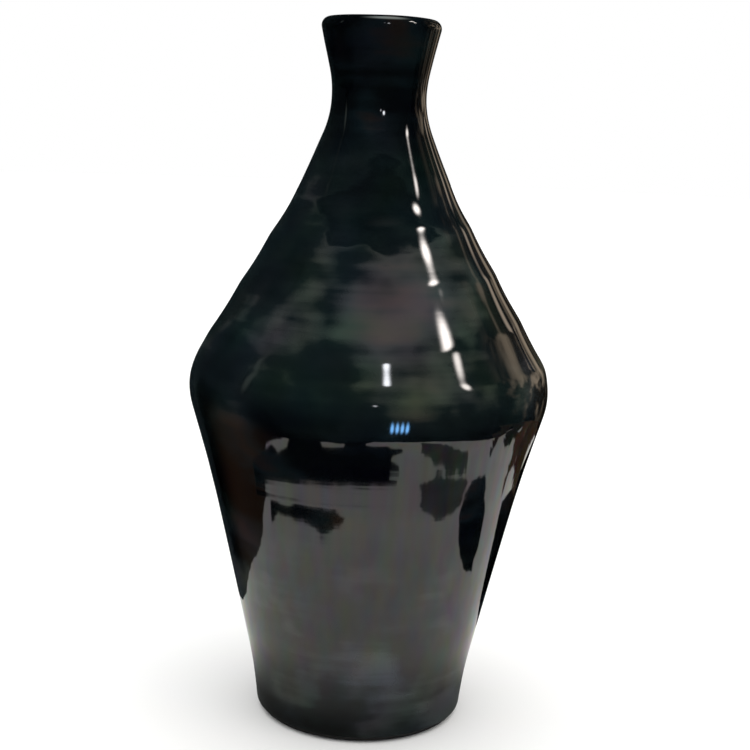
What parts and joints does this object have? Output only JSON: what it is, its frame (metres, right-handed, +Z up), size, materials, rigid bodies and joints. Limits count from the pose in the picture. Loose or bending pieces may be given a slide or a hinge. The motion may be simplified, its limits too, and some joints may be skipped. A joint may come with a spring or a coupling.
{
  "type": "clay bottle vase",
  "caption": "Tall bottle-shaped clay pot with a flared mouth, a narrow neck, a cone shoulder, a rounded belly edge and a tapering lower wall on a flat ring foot, under a black gloss coat.",
  "frame": {"origin": "centre of the ring that the pot stands on, in the plane of the surface it rests on", "axes": "+Z up along the pot's axis; the pot is round, so X and Y are free, and -Y is called the front"},
  "size_m": [0.154, 0.154, 0.3],
  "materials": {
    "fired_clay": "black reduction-fired clay, bare at the foot, matt with fine turning marks",
    "gloss_coat": "black gloss coat with dark teal and brown clouding and soft horizontal brush bands",
    "liner_coat": "thin dark brown-black liner, satin"
  },
  "bodies": {
    "root": {"base_disc": "fired_clay", "lower_wall": "fired_clay", "shoulder_wall": "fired_clay", "neck": "fired_clay", "lip_ring": "fired_clay", "outer_coat": "gloss_coat", "liner_coat": "liner_coat"}
  },
  "joints": []
}
